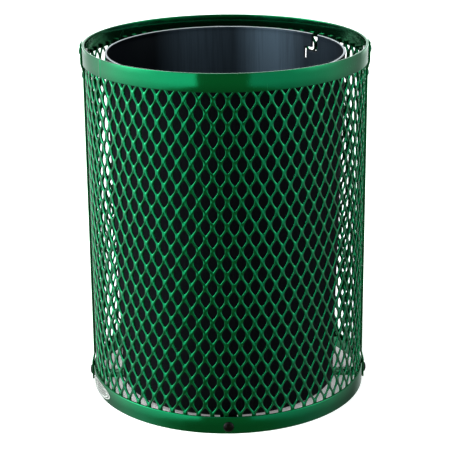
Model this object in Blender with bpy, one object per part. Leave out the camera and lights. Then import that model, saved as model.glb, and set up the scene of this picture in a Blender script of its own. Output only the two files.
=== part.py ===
"""Outdoor litter bin: an expanded-metal basket between two hoops, with a lift-out liner.

Metres, +Z up. The origin is on the floor at the bin's centre, and -Y is the front.
Azimuths are in degrees from the front, turning towards +X.
"""

import math

import bmesh
import bpy
from mathutils import Matrix, Vector

# ---- Driving dimensions -------------------------------------------------------------
OUTER_DIAMETER = 0.610      # over the hoops
HEIGHT = 0.775              # floor to the top hoop's upper edge
GAP = 0.0003                # air left between neighbouring pieces
ROUND_STEPS = 72            # facets round the hoops and the liner

HOOP_HEIGHT = 0.0381
HOOP_THICKNESS = 0.005
HOOP_EDGE = 0.001           # chamfer on the hoop's edges

MESH_THICKNESS = 0.0042     # coated strand, across the sheet
MESH_MARGIN = 0.0042        # base bolts' holes to the sheet's lower edge
MESH_COLUMNS = 11           # openings across one half of the basket
MESH_ROWS = 5               # openings up the sheet
OPENING_SHARE = 0.62        # opening size over opening pitch
SEAM_GAP = 0.001            # between the two half sheets

UPRIGHT_WIDTH = 0.038
UPRIGHT_THICKNESS = 0.004
UPRIGHT_SETBACK = 0.0008    # upright to sheet, between the hoops
UPRIGHT_JOGGLE = 0.018      # length of the bend that brings the upright in to the sheet

BAR_WIDTH = 0.038
BAR_THICKNESS = 0.005
BAR_LIFT = 0.003            # floor to the underside of the base bars
BAR_HUMP = 0.030            # half length of the cross bar's hump, beyond the lower bar
BAR_SLOPE = 0.008           # run of each slope of the hump
RIVET_HEAD_DIAMETER = 0.018
RIVET_DOME = 0.0035         # head above the bars
RIVET_FLAT = 0.0015         # head below them

BOLT_SHANK = 0.008          # diameter
BOLT_HOLE = 0.0088          # diameter
DOME_DIAMETER = 0.023
DOME_HEIGHT = 0.0055
NUT_ACROSS_FLATS = 0.013
NUT_THICKNESS = 0.0065
BOLT_TAIL = 0.0015          # thread showing past the nut
NUT_LIFT = 0.001            # base bar to the lowest corner of its nut

SMALL_SHANK = 0.006
SMALL_HOLE = 0.0068
SMALL_DOME_DIAMETER = 0.016
SMALL_DOME_HEIGHT = 0.0035
SMALL_NUT_ACROSS_FLATS = 0.010
SMALL_NUT_THICKNESS = 0.005
HOOP_BOLT_DEPTH = 0.018     # below the top edge
SHEET_BOLT_DEPTH = 0.070    # below the top edge
WASHER_DIAMETER = 0.026
WASHER_THICKNESS = 0.002

LINER_GAP = 0.0385          # basket's sheet to the liner's rim bead
LINER_DRAFT = 0.018         # how far the wall leans in from rim to base
RIM_DEPTH = 0.0185          # below the top hoop's upper edge
RIM_BEAD = 0.005            # width of the bead
RIM_BEAD_HEIGHT = 0.006
LINER_WALL = 0.0035
LINER_CORNER = 0.008        # outer radius between wall and base
LINER_KICK_UP = 0.011       # rise of the base's middle
LINER_FOOT_WIDTH = 0.069    # of the ring that the liner stands on
LINER_CLEARANCE = 0.0006    # liner to base bars

NOTCH_AZIMUTH = 127.5
NOTCH_WIDTH = 0.018
NOTCH_DEPTH = 0.037
SLOT_WIDTH = 0.007
SLOT_REACH = 0.023          # from the notch's side to the slot's far side
SLOT_DEPTH = 0.058          # rim to the slot's lower end

LABEL_AZIMUTH = -69.5
LABEL_WIDTH = 0.120
LABEL_MARGIN = 0.004        # plate to either edge of the bottom hoop
LABEL_THICKNESS = 0.0008

# ---- Sizes that follow from them ----------------------------------------------------
HOOP_OUTER = OUTER_DIAMETER / 2
HOOP_INNER = HOOP_OUTER - HOOP_THICKNESS
SHEET_OUTER = HOOP_INNER - GAP
SHEET_INNER = SHEET_OUTER - MESH_THICKNESS
UPRIGHT_AT_HOOP = HOOP_OUTER + GAP
UPRIGHT_AT_SHEET = SHEET_OUTER + UPRIGHT_SETBACK
FLAT_INNER = HOOP_INNER * math.cos(math.pi / ROUND_STEPS)
BAR_REACH = math.sqrt((FLAT_INNER - GAP) ** 2 - (BAR_WIDTH / 2) ** 2)
BAR_TOP = BAR_LIFT + BAR_THICKNESS
BASE_BOLT_HEIGHT = BAR_TOP + NUT_LIFT + NUT_ACROSS_FLATS / math.sqrt(3)
SHEET_BOTTOM = BASE_BOLT_HEIGHT + BOLT_HOLE / 2 + MESH_MARGIN
SHEET_TOP = HEIGHT - SHEET_BOTTOM
TAB_TOP = SHEET_BOTTOM - 2 * GAP
SHEET_CHORD = math.pi / (2 * MESH_COLUMNS)
WASHER_SEAT = SHEET_INNER - WASHER_DIAMETER / 2 * math.tan(SHEET_CHORD / 2)
LINER_BOTTOM = BAR_TOP + LINER_CLEARANCE
LINER_TOP = HEIGHT - RIM_DEPTH
RIM_RADIUS = SHEET_INNER - LINER_GAP
BASE_RADIUS = RIM_RADIUS - LINER_DRAFT
FOOT_RADIUS = BASE_RADIUS - LINER_FOOT_WIDTH
LABEL_LIFT = HOOP_HEIGHT / 2
LABEL_HEIGHT = HOOP_HEIGHT - 2 * LABEL_MARGIN


def clear_scene():
    for obj in list(bpy.data.objects):
        bpy.data.objects.remove(obj, do_unlink=True)


def finish_material(name, colour, roughness, metallic):
    material = bpy.data.materials.new(name)
    material.use_nodes = True
    shader = material.node_tree.nodes["Principled BSDF"]
    shader.inputs["Base Color"].default_value = (*colour, 1.0)
    shader.inputs["Roughness"].default_value = roughness
    shader.inputs["Metallic"].default_value = metallic
    return material


def around(azimuth, radius, height=0.0):
    """The point at that azimuth, radius and height."""
    turn = math.radians(azimuth)
    return Vector((radius * math.sin(turn), -radius * math.cos(turn), height))


def facing_out(azimuth):
    """Turns local +Z to point outwards at that azimuth, with local +Y up."""
    turn = math.radians(azimuth)
    out = Vector((math.sin(turn), -math.cos(turn), 0.0))
    up = Vector((0.0, 0.0, 1.0))
    return Matrix((up.cross(out), up, out)).transposed().to_euler()


def piece(name, bm, material, parent, place=(0.0, 0.0, 0.0), turn=(0.0, 0.0, 0.0)):
    """Makes a named object of the bmesh, shaded smooth except at its sharp edges."""
    bmesh.ops.recalc_face_normals(bm, faces=bm.faces)
    mesh = bpy.data.meshes.new(name)
    bm.to_mesh(mesh)
    bm.free()
    mesh.shade_smooth()
    mesh.set_sharp_from_angle(angle=math.radians(35))
    mesh.materials.append(material)
    obj = bpy.data.objects.new(name, mesh)
    bpy.context.scene.collection.objects.link(obj)
    obj.parent = parent
    obj.location = place
    obj.rotation_euler = turn
    return obj


def turned(profile, steps):
    """The closed solid that an outline of (radius, height) points sweeps round Z."""
    bm = bmesh.new()
    corners = [bm.verts.new((radius, 0.0, height)) for radius, height in profile]
    ends = list(zip(corners, corners[1:]))
    if all(radius > 0 for radius, _ in profile):
        ends.append((corners[-1], corners[0]))
    edges = [bm.edges.new(pair) for pair in ends]
    bmesh.ops.spin(
        bm, geom=corners + edges, cent=(0, 0, 0), axis=(0, 0, 1),
        angle=math.tau, steps=steps, use_merge=True,
    )
    bmesh.ops.remove_doubles(bm, verts=bm.verts, dist=1e-6)
    return bm


def extruded(outline, direction):
    """The closed solid made by pushing a flat outline of points along a direction."""
    bm = bmesh.new()
    face = bm.faces.new([bm.verts.new(point) for point in outline])
    made = bmesh.ops.extrude_face_region(bm, geom=[face], use_keep_orig=True)
    moved = [item for item in made["geom"] if isinstance(item, bmesh.types.BMVert)]
    bmesh.ops.translate(bm, verts=moved, vec=direction)
    return bm


def cut(target, cutter):
    """Takes the cutter away from the target, and keeps the cutter out of the model."""
    cutter.hide_render = True
    cutter.display_type = "WIRE"
    modifier = target.modifiers.new(f"cut_{cutter.name}", "BOOLEAN")
    modifier.operation = "DIFFERENCE"
    modifier.object = cutter


def drill(name, azimuth, height, diameter, parent):
    """A radial cutter for a bolt hole, from inside the sheet to outside the uprights."""
    half_length = 0.03
    bm = bmesh.new()
    bmesh.ops.create_cone(
        bm, cap_ends=True, segments=20, radius1=diameter / 2, radius2=diameter / 2,
        depth=2 * half_length,
    )
    return piece(
        name, bm, None, parent, around(azimuth, HOOP_OUTER, height), facing_out(azimuth)
    )


def hoop(name, bottom, material, parent):
    """A flat-bar hoop with eased edges."""
    top = bottom + HOOP_HEIGHT
    profile = [
        (HOOP_OUTER, top - HOOP_EDGE), (HOOP_OUTER, bottom + HOOP_EDGE),
        (HOOP_OUTER - HOOP_EDGE, bottom), (HOOP_INNER + HOOP_EDGE, bottom),
        (HOOP_INNER, bottom + HOOP_EDGE), (HOOP_INNER, top - HOOP_EDGE),
        (HOOP_INNER + HOOP_EDGE, top), (HOOP_OUTER - HOOP_EDGE, top),
    ]
    return piece(name, turned(profile, ROUND_STEPS), material, parent)


def sheet_tile(bm, point, column, row, open_middle):
    """One rhombic tile of the sheet, from bond to bond, with or without its opening.

    column and row are the tile's centre in half pitches, and point(u, v, inner) gives the
    vertex at that place in half pitches, on the sheet's inner or outer face.
    """
    corners = [(0, -1), (1, 0), (0, 1), (-1, 0)]
    corners = [(column + u, row + v) for u, v in corners]
    limits = (2 * MESH_COLUMNS, 2 * MESH_ROWS)
    kept = [c for c in corners if 0 <= c[0] <= limits[0] and 0 <= c[1] <= limits[1]]
    for inner in (False, True):
        outer_loop = [point(u, v, inner) for u, v in kept]
        if not open_middle:
            bm.faces.new(outer_loop if not inner else outer_loop[::-1])
            continue
        hole = [
            point(column + (u - column) * OPENING_SHARE, row + (v - row) * OPENING_SHARE, inner)
            for u, v in kept
        ]
        for here in range(4):
            after = (here + 1) % 4
            quad = [outer_loop[here], outer_loop[after], hole[after], hole[here]]
            bm.faces.new(quad if not inner else quad[::-1])


def mesh_sheet(name, azimuth, material, parent):
    """Half of the basket's wall: an expanded sheet, rolled, with its openings upright.

    The tiles at the sheet's edges stay solid, and the walls of the openings and the
    sheet's edges are bridged from the outer face to the inner one.
    """
    bm = bmesh.new()
    made = {}
    seam = math.degrees(SEAM_GAP / 2 / SHEET_OUTER)
    sweep = 180.0 - 2 * seam

    def point(u, v, inner):
        key = (round(u, 4), round(v, 4), inner)
        if key not in made:
            turn = azimuth - 90.0 + seam + sweep * u / (2 * MESH_COLUMNS)
            height = SHEET_BOTTOM + (SHEET_TOP - SHEET_BOTTOM) * v / (2 * MESH_ROWS)
            made[key] = bm.verts.new(around(turn, SHEET_INNER if inner else SHEET_OUTER, height))
        return made[key]

    for column in range(2 * MESH_COLUMNS + 1):
        for row in range(2 * MESH_ROWS + 1):
            if (column + row) % 2:
                at_edge = column in (0, 2 * MESH_COLUMNS) or row in (0, 2 * MESH_ROWS)
                sheet_tile(bm, point, column, row, not at_edge)
    rims = [edge for edge in bm.edges if edge.is_boundary]
    twins = {key[:2]: [made[(*key[:2], False)], made[(*key[:2], True)]] for key in made}
    places = {vert: key[:2] for key, vert in made.items()}
    for edge in rims:
        here, after = (places[vert] for vert in edge.verts)
        if edge.verts[0] is twins[here][0]:
            bm.faces.new((twins[here][0], twins[after][0], twins[after][1], twins[here][1]))
    return piece(name, bm, material, parent)


def upright(name, azimuth, material, parent):
    """A full-height flat bar outside the hoops, joggled in against the sheet between them."""
    low = HOOP_HEIGHT + 0.004
    line = [
        (UPRIGHT_AT_HOOP, 0.0), (UPRIGHT_AT_HOOP, low),
        (UPRIGHT_AT_SHEET, low + UPRIGHT_JOGGLE),
        (UPRIGHT_AT_SHEET, HEIGHT - low - UPRIGHT_JOGGLE),
        (UPRIGHT_AT_HOOP, HEIGHT - low), (UPRIGHT_AT_HOOP, HEIGHT),
    ]
    back = [(radius, height) for radius, height in line]
    front = [(radius + UPRIGHT_THICKNESS, height) for radius, height in reversed(line)]
    half = UPRIGHT_WIDTH / 2
    outline = [Vector((-half, height, radius)) for radius, height in back + front]
    bm = extruded(outline, (UPRIGHT_WIDTH, 0.0, 0.0))
    return piece(name, bm, material, parent, (0, 0, 0), facing_out(azimuth))


def base_bar(name, azimuth, hump, material, parent):
    """A flat bar across the base with its ends turned up; hump lifts its middle clear."""
    inner = BAR_REACH - BAR_THICKNESS
    lower = [(-BAR_REACH, TAB_TOP), (-BAR_REACH, BAR_LIFT)]
    upper = [(inner, TAB_TOP), (inner, BAR_TOP)]
    if hump:
        rise = BAR_THICKNESS + GAP
        lower += hump_points(BAR_LIFT, rise)
        upper += hump_points(BAR_TOP, rise)[::-1]
    lower += [(BAR_REACH, BAR_LIFT), (BAR_REACH, TAB_TOP)]
    upper += [(-inner, BAR_TOP), (-inner, TAB_TOP)]
    half = BAR_WIDTH / 2
    outline = [Vector((-half, height, along)) for along, height in lower + upper]
    bm = extruded(outline, (BAR_WIDTH, 0.0, 0.0))
    return piece(name, bm, material, parent, (0, 0, 0), facing_out(azimuth))


def base_rivet(material, parent):
    """Joins the base bars where they cross: domed above, flat below."""
    low = BAR_LIFT - GAP
    high = BAR_TOP + BAR_THICKNESS + 2 * GAP
    radius = RIVET_HEAD_DIAMETER / 2
    shank = SMALL_SHANK / 2
    profile = [(0.0, low - RIVET_FLAT), (radius, low - RIVET_FLAT), (radius, low), (shank, low),
               (shank, high), (radius, high)]
    profile += [
        (radius * math.cos(math.pi * i / 10), high + RIVET_DOME * math.sin(math.pi * i / 10))
        for i in range(1, 5)
    ]
    profile.append((0.0, high + RIVET_DOME))
    return piece("base_rivet", turned(profile, 24), material, parent)


def hump_points(level, rise):
    """The hump's outline along one face of the bar, from one side to the other."""
    reach = BAR_WIDTH / 2 + BAR_HUMP
    flat = reach - BAR_SLOPE
    return [(-reach, level), (-flat, level + rise), (flat, level + rise), (reach, level)]


def dome_bolt(name, azimuth, height, seat, end, sizes, material, parent):
    """A dome-head bolt along the radius, its head on radius seat and its tail at end."""
    diameter, dome, shank = sizes
    radius = diameter / 2
    steps = 4
    crown = [
        (radius * math.cos(math.pi / 2 * i / steps), dome * math.sin(math.pi / 2 * i / steps))
        for i in range(steps, -1, -1)
    ]
    crown[0] = (0.0, dome)
    tail = end - seat
    profile = crown + [(shank / 2, 0.0), (shank / 2, tail), (0.0, tail)]
    bm = turned(profile, 18)
    return piece(
        name, bm, material, parent, around(azimuth, seat + GAP, height), facing_out(azimuth)
    )


def nut(name, azimuth, height, seat, across_flats, thickness, bore, material, parent):
    """A hexagon nut on the inside, its outer face on radius seat."""
    bm = bmesh.new()
    rings = []
    for level in (0.0, -thickness):
        outer = [
            bm.verts.new(Vector((math.cos(turn), math.sin(turn), 0)) * across_flats / math.sqrt(3)
                         + Vector((0, 0, level)))
            for turn in (math.tau * i / 6 for i in range(6))
        ]
        hole = [
            bm.verts.new((bore / 2 * math.cos(turn), bore / 2 * math.sin(turn), level))
            for turn in (math.tau * i / 18 for i in range(18))
        ]
        rings.append((outer, hole))
    for level, (outer, hole) in enumerate(rings):
        for side in range(6):
            fan = [hole[(3 * side + k) % 18] for k in range(3, -1, -1)]
            face = [outer[side], outer[(side + 1) % 6], *fan]
            bm.faces.new(face if level == 0 else face[::-1])
    for ring, count in ((0, 6), (1, 18)):
        for side in range(count):
            after = (side + 1) % count
            bm.faces.new((rings[0][ring][side], rings[0][ring][after],
                          rings[1][ring][after], rings[1][ring][side]))
    return piece(
        name, bm, material, parent, around(azimuth, seat - GAP, height), facing_out(azimuth)
    )


def washer(name, azimuth, height, seat, material, parent):
    """A wide plate washer that clamps the two half sheets."""
    bore = SMALL_HOLE / 2
    rim = WASHER_DIAMETER / 2
    profile = [(rim, 0.0), (rim, -WASHER_THICKNESS), (bore, -WASHER_THICKNESS), (bore, 0.0)]
    return piece(
        name, turned(profile, 24), material, parent,
        around(azimuth, seat - GAP, height), facing_out(azimuth),
    )


def corner_arc(centre_radius, centre_height, radius, steps):
    """A quarter round from the wall down to the base."""
    return [
        (centre_radius + radius * math.cos(math.pi / 2 * i / steps),
         centre_height - radius * math.sin(math.pi / 2 * i / steps))
        for i in range(steps + 1)
    ]


def liner(material, parent):
    """A tapered tub with a rim bead, rounded at the foot, its base raised in the middle."""
    bead_outer = RIM_RADIUS
    wall_top = bead_outer - (RIM_BEAD - LINER_WALL) / 2
    base = BASE_RADIUS
    foot = FOOT_RADIUS
    raised = foot - LINER_KICK_UP
    under_bead = LINER_TOP - RIM_BEAD_HEIGHT
    outer = [(wall_top, under_bead)]
    outer += corner_arc(base - LINER_CORNER, LINER_BOTTOM + LINER_CORNER, LINER_CORNER, 6)
    outer += [
        (foot, LINER_BOTTOM), (raised, LINER_BOTTOM + LINER_KICK_UP),
        (0.0, LINER_BOTTOM + LINER_KICK_UP),
    ]
    floor = LINER_BOTTOM + LINER_WALL
    inner = corner_arc(
        base - LINER_CORNER, floor + LINER_CORNER - LINER_WALL, LINER_CORNER - LINER_WALL, 6
    )
    mitre = LINER_WALL * math.tan(math.pi / 8)
    inner = [(0.0, floor + LINER_KICK_UP), (raised + mitre, floor + LINER_KICK_UP),
             (foot + mitre, floor)] + inner[::-1]
    inner.append((wall_top - LINER_WALL, under_bead))
    bead_inner = bead_outer - RIM_BEAD
    ease = RIM_BEAD / 4
    bead = [
        (bead_inner, under_bead + ease), (bead_inner, LINER_TOP - ease),
        (bead_inner + ease, LINER_TOP), (bead_outer - ease, LINER_TOP),
        (bead_outer, LINER_TOP - ease), (bead_outer, under_bead + ease),
    ]
    profile = outer + inner + bead
    bm = bmesh.new()
    verts = [bm.verts.new((radius, 0.0, height)) for radius, height in profile]
    count = len(outer)
    edges = [
        bm.edges.new((verts[i], verts[(i + 1) % len(verts)]))
        for i in range(len(verts)) if i != count - 1
    ]
    bmesh.ops.spin(
        bm, geom=verts + edges, cent=(0, 0, 0), axis=(0, 0, 1),
        angle=math.tau, steps=ROUND_STEPS, use_merge=True,
    )
    bmesh.ops.remove_doubles(bm, verts=bm.verts, dist=1e-6)
    obj = piece("liner", bm, material, parent)
    cut(obj, bag_slot_cutter(parent))
    return obj


def bag_slot_cutter(parent):
    """The bag notch in the liner's rim, with the hooked slot that runs off its lower corner."""
    depth = 0.04
    left, right = -NOTCH_WIDTH / 2, NOTCH_WIDTH / 2
    far = right + SLOT_REACH
    near = far - SLOT_WIDTH
    above = 0.01
    corners = [
        (left, above), (left, -NOTCH_DEPTH), (near, -NOTCH_DEPTH), (near, -SLOT_DEPTH),
        (far, -SLOT_DEPTH), (far, SLOT_WIDTH - NOTCH_DEPTH), (right, SLOT_WIDTH - NOTCH_DEPTH),
        (right, above),
    ]
    bm = extruded([Vector((x, y, -depth / 2)) for x, y in corners], (0.0, 0.0, depth))
    return piece(
        "bag_slot_cutter", bm, None, parent, around(NOTCH_AZIMUTH, RIM_RADIUS, LINER_TOP),
        facing_out(NOTCH_AZIMUTH),
    )


def label_plate(material, parent):
    """A thin oval plate that follows the bottom hoop's curve."""
    steps = 32
    inner = HOOP_OUTER + GAP
    bm = bmesh.new()
    faces = []
    for radius in (inner, inner + LABEL_THICKNESS):
        ring = []
        for i in range(steps):
            turn = math.tau * i / steps
            along = math.degrees(LABEL_WIDTH / 2 * math.cos(turn) / inner)
            height = LABEL_LIFT + LABEL_HEIGHT / 2 * math.sin(turn)
            ring.append(bm.verts.new(around(LABEL_AZIMUTH + along, radius, height)))
        faces.append(ring)
    for ring in faces:
        for i in range(steps // 2):
            quad = [ring[i], ring[i + 1], ring[-i - 1], ring[-i % steps]]
            bm.faces.new(list(dict.fromkeys(quad)))
    for i in range(steps):
        after = (i + 1) % steps
        bm.faces.new((faces[0][i], faces[0][after], faces[1][after], faces[1][i]))
    return piece("label_plate", bm, material, parent)


def build():
    clear_scene()
    green = finish_material("green_plastisol", (0.010, 0.130, 0.050), 0.25, 0.0)
    black_steel = finish_material("black_oxide_steel", (0.012, 0.013, 0.012), 0.4, 0.6)
    zinc = finish_material("zinc_plated_steel", (0.45, 0.46, 0.47), 0.35, 1.0)
    black_plastic = finish_material("black_polyethylene", (0.010, 0.013, 0.018), 0.4, 0.0)
    plate = finish_material("anodised_plate", (0.70, 0.71, 0.70), 0.35, 0.9)

    basket = bpy.data.objects.new("basket", None)
    lift = bpy.data.objects.new("liner_lift", None)
    for empty in (basket, lift):
        bpy.context.scene.collection.objects.link(empty)

    top_hoop = hoop("top_hoop", HEIGHT - HOOP_HEIGHT, green, basket)
    bottom_hoop = hoop("bottom_hoop", 0.0, green, basket)
    sheets = [
        mesh_sheet("mesh_front", 0.0, green, basket),
        mesh_sheet("mesh_back", 180.0, green, basket),
    ]
    bars = {
        0.0: base_bar("base_bar_long", 0.0, False, green, basket),
        90.0: base_bar("base_bar_cross", 90.0, True, green, basket),
    }

    big = (DOME_DIAMETER, DOME_HEIGHT, BOLT_SHANK)
    small = (SMALL_DOME_DIAMETER, SMALL_DOME_HEIGHT, SMALL_SHANK)
    tail = {"big": NUT_THICKNESS + BOLT_TAIL, "small": SMALL_NUT_THICKNESS + BOLT_TAIL}
    tab_face = BAR_REACH - BAR_THICKNESS

    for side, azimuth in (("front", 0.0), ("back", 180.0), ("left", -90.0), ("right", 90.0)):
        at_upright = side in ("left", "right")
        seat = UPRIGHT_AT_HOOP + UPRIGHT_THICKNESS if at_upright else HOOP_OUTER
        hole = drill(f"base_drill_{side}", azimuth, BASE_BOLT_HEIGHT, BOLT_HOLE, basket)
        cut(bottom_hoop, hole)
        cut(bars[abs(azimuth) % 180.0], hole)
        if at_upright:
            strip = upright(f"upright_{side}", azimuth, green, basket)
            cut(strip, hole)
            hoop_hole = drill(
                f"hoop_drill_{side}", azimuth, HEIGHT - HOOP_BOLT_DEPTH, SMALL_HOLE, basket)
            sheet_hole = drill(
                f"sheet_drill_{side}", azimuth, HEIGHT - SHEET_BOLT_DEPTH, SMALL_HOLE, basket)
            for target in (strip, top_hoop):
                cut(target, hoop_hole)
            for target in (strip, *sheets):
                cut(target, sheet_hole)
            dome_bolt(f"hoop_bolt_{side}", azimuth, HEIGHT - HOOP_BOLT_DEPTH, seat,
                      HOOP_INNER - tail["small"], small, black_steel, basket)
            nut(f"hoop_nut_{side}", azimuth, HEIGHT - HOOP_BOLT_DEPTH, HOOP_INNER,
                SMALL_NUT_ACROSS_FLATS, SMALL_NUT_THICKNESS, SMALL_HOLE, zinc, basket)
            clamp = WASHER_SEAT - WASHER_THICKNESS - GAP
            dome_bolt(f"sheet_bolt_{side}", azimuth, HEIGHT - SHEET_BOLT_DEPTH,
                      UPRIGHT_AT_SHEET + UPRIGHT_THICKNESS, clamp - tail["small"],
                      small, black_steel, basket)
            washer(f"sheet_washer_{side}", azimuth, HEIGHT - SHEET_BOLT_DEPTH, WASHER_SEAT,
                   zinc, basket)
            nut(f"sheet_nut_{side}", azimuth, HEIGHT - SHEET_BOLT_DEPTH, clamp,
                SMALL_NUT_ACROSS_FLATS, SMALL_NUT_THICKNESS, SMALL_HOLE, zinc, basket)
        dome_bolt(f"base_bolt_{side}", azimuth, BASE_BOLT_HEIGHT, seat,
                  tab_face - tail["big"], big, black_steel, basket)
        nut(f"base_nut_{side}", azimuth, BASE_BOLT_HEIGHT, tab_face,
            NUT_ACROSS_FLATS, NUT_THICKNESS, BOLT_HOLE, zinc, basket)

    bm = bmesh.new()
    bmesh.ops.create_cone(
        bm, cap_ends=True, segments=20, radius1=SMALL_HOLE / 2, radius2=SMALL_HOLE / 2, depth=0.06
    )
    rivet_hole = piece("rivet_drill", bm, None, basket)
    for bar in bars.values():
        cut(bar, rivet_hole)
    base_rivet(zinc, basket)

    liner(black_plastic, lift)
    label_plate(plate, basket)


build()
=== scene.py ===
"""Looks for the outdoor litter bin: a coated expanded-metal basket with a lift-out liner.

Metres, +Z up, -Y is the front. Azimuths run from the front towards +X. Every piece is
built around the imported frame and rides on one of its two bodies, basket or liner.
"""

import math

import bmesh
import bpy
import numpy as np
from bpy.props import FloatProperty, FloatVectorProperty, IntProperty, PointerProperty
from mathutils import Matrix, Vector


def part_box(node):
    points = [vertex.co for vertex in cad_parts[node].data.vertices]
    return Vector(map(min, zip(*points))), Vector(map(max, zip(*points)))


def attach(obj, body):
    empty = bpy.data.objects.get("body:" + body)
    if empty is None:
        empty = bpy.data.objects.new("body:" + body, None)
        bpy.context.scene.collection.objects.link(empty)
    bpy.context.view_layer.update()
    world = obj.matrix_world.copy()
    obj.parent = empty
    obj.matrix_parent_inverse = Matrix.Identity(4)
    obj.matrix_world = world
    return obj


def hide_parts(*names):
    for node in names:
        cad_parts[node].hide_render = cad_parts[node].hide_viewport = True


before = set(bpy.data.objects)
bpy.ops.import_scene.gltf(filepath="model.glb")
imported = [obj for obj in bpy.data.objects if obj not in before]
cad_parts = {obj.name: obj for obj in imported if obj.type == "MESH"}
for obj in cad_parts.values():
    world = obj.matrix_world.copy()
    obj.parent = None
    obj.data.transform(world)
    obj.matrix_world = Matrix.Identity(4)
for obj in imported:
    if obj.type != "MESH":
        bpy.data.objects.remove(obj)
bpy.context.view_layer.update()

bl_info = {
    "name": "Expanded-metal litter bin",
    "version": (1, 0, 0),
    "blender": (4, 5, 0),
    "location": "3D View > Sidebar > Litter bin",
    "description": "Builds a coated expanded-metal litter bin and its liner round a packed frame",
    "category": "Add Mesh",
}

MM = 0.001


def reach(node):
    """The node's largest distance from the bin's axis, for a node that is round about it."""
    low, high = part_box(node)
    return max(high[0], -low[0])


HOOP_LOW, HOOP_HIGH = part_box("top_hoop")
FOOT_LOW, FOOT_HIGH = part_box("bottom_hoop")
SHEET_LOW, SHEET_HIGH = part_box("mesh_front")
UPRIGHT_LOW, UPRIGHT_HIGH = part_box("upright_right")
LINER_LOW, LINER_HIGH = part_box("liner")
HOOP_RADIUS = reach("top_hoop")
BIN_HEIGHT = HOOP_HIGH[2]
LABEL_LOW, LABEL_HIGH = (Vector(corner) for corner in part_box("label_plate"))

HOOP_THICKNESS = 5 * MM
UPRIGHT_THICKNESS = 4 * MM
BASE_BAR_THICKNESS = 5 * MM
FIT_GAP = 0.3 * MM

# A Mix node's colour sockets share their names with its other kinds, so they go by number.
COLOUR_A, COLOUR_B, MIXED_COLOUR = 6, 7, 2


# ---- Small helpers ------------------------------------------------------------------


def linear(code):
    """The opaque linear colour of an sRGB hex code such as "#0f5a2c"."""
    parts = [int(code[i:i + 2], 16) / 255 for i in (1, 3, 5)]
    return (*(c / 12.92 if c <= 0.04045 else ((c + 0.055) / 1.055) ** 2.4 for c in parts), 1.0)


def around(azimuth, radius, height=0.0):
    """The point at that azimuth in degrees, radius and height."""
    turn = math.radians(azimuth)
    return Vector((radius * math.sin(turn), -radius * math.cos(turn), height))


def facing_out(azimuth, radius, height):
    """A placement on the bin's side, its +Z pointing out and its +Y up."""
    turn = math.radians(azimuth)
    out = Vector((math.sin(turn), -math.cos(turn), 0.0))
    up = Vector((0.0, 0.0, 1.0))
    side = Matrix((up.cross(out), up, out)).transposed().to_4x4()
    side.translation = out * radius + up * height
    return side


def add_node(tree, kind, inputs=None, output=0, **settings):
    """Adds a node and gives one output. An input is a socket to link or a value to set."""
    node = tree.nodes.new(kind)
    for name, value in settings.items():
        setattr(node, name, value)
    for name, value in (inputs or {}).items():
        if isinstance(value, bpy.types.NodeSocket):
            tree.links.new(value, node.inputs[name])
        else:
            node.inputs[name].default_value = value
    return node.outputs[output]


def new_material(name):
    """An empty node material with its Principled shader, and object coordinates in metres."""
    material = bpy.data.materials.new(name)
    material.use_nodes = True
    tree = material.node_tree
    shader = tree.nodes["Principled BSDF"]
    place = tree.nodes.new("ShaderNodeTexCoord").outputs["Object"]
    return material, tree, shader, place


def relief(tree, place, *layers):
    """Bumps made of noise. Each layer is its pitch, its detail and its depth, coarse first."""
    normal = {}
    for pitch, detail, depth in layers:
        height = add_node(tree, "ShaderNodeTexNoise", {
            "Vector": place, "Scale": 1 / pitch, "Detail": detail})
        normal["Normal"] = add_node(tree, "ShaderNodeBump", {
            "Height": height, "Distance": depth, **normal})
    return normal["Normal"]


def band(tree, value, rise, fall):
    """A share that rises from 0 to 1 between two values and falls again between two more."""
    risen = add_node(tree, "ShaderNodeMapRange", {
        "Value": value, "From Min": rise[0], "From Max": rise[1]})
    fallen = add_node(tree, "ShaderNodeMapRange", {
        "Value": value, "From Min": fall[0], "From Max": fall[1], "To Min": 1.0, "To Max": 0.0})
    return add_node(tree, "ShaderNodeMath", {0: risen, 1: fallen}, operation="MULTIPLY")


def make_piece(name, source, material, body, replaced, sharp=40.0):
    """Makes an object of a bmesh, shaded smooth, that rides on a body and stands for nodes."""
    if isinstance(source, bmesh.types.BMesh):
        mesh = bpy.data.meshes.new(name)
        source.to_mesh(mesh)
        source.free()
    else:
        mesh = source
    mesh.shade_smooth()
    mesh.set_sharp_from_angle(angle=math.radians(sharp))
    mesh.materials.clear()
    mesh.materials.append(material)
    obj = bpy.data.objects.new(name, mesh)
    bpy.context.scene.collection.objects.link(obj)
    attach(obj, body)
    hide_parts(*replaced)
    return obj


def loft(bm, rings, closed=True, caps=False):
    """Joins rings of points, each the same length, into a skin."""
    made = [[bm.verts.new(point) for point in ring] for ring in rings]
    count = len(made[0])
    pairs = list(zip(made, made[1:]))
    if closed:
        pairs.append((made[-1], made[0]))
    for first, second in pairs:
        for i in range(count):
            after = (i + 1) % count
            bm.faces.new((first[i], first[after], second[after], second[i]))
    if caps:
        bm.faces.new(made[0][::-1])
        bm.faces.new(made[-1])
    bmesh.ops.recalc_face_normals(bm, faces=bm.faces)
    return made


def turned(profile, steps, placement=None):
    """The skin that a profile of (radius, height) points sweeps round Z."""
    bm = bmesh.new()
    corners = [bm.verts.new((radius, 0.0, height)) for radius, height in profile]
    edges = [bm.edges.new(pair) for pair in zip(corners, corners[1:])]
    if profile[0][0] > 0:
        edges.append(bm.edges.new((corners[-1], corners[0])))
    bmesh.ops.spin(bm, geom=corners + edges, cent=(0, 0, 0), axis=(0, 0, 1),
                   angle=math.tau, steps=steps, use_merge=True)
    bmesh.ops.remove_doubles(bm, verts=bm.verts, dist=1e-6)
    bmesh.ops.recalc_face_normals(bm, faces=bm.faces)
    if placement:
        bmesh.ops.transform(bm, matrix=placement, verts=bm.verts)
    return bm


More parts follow.
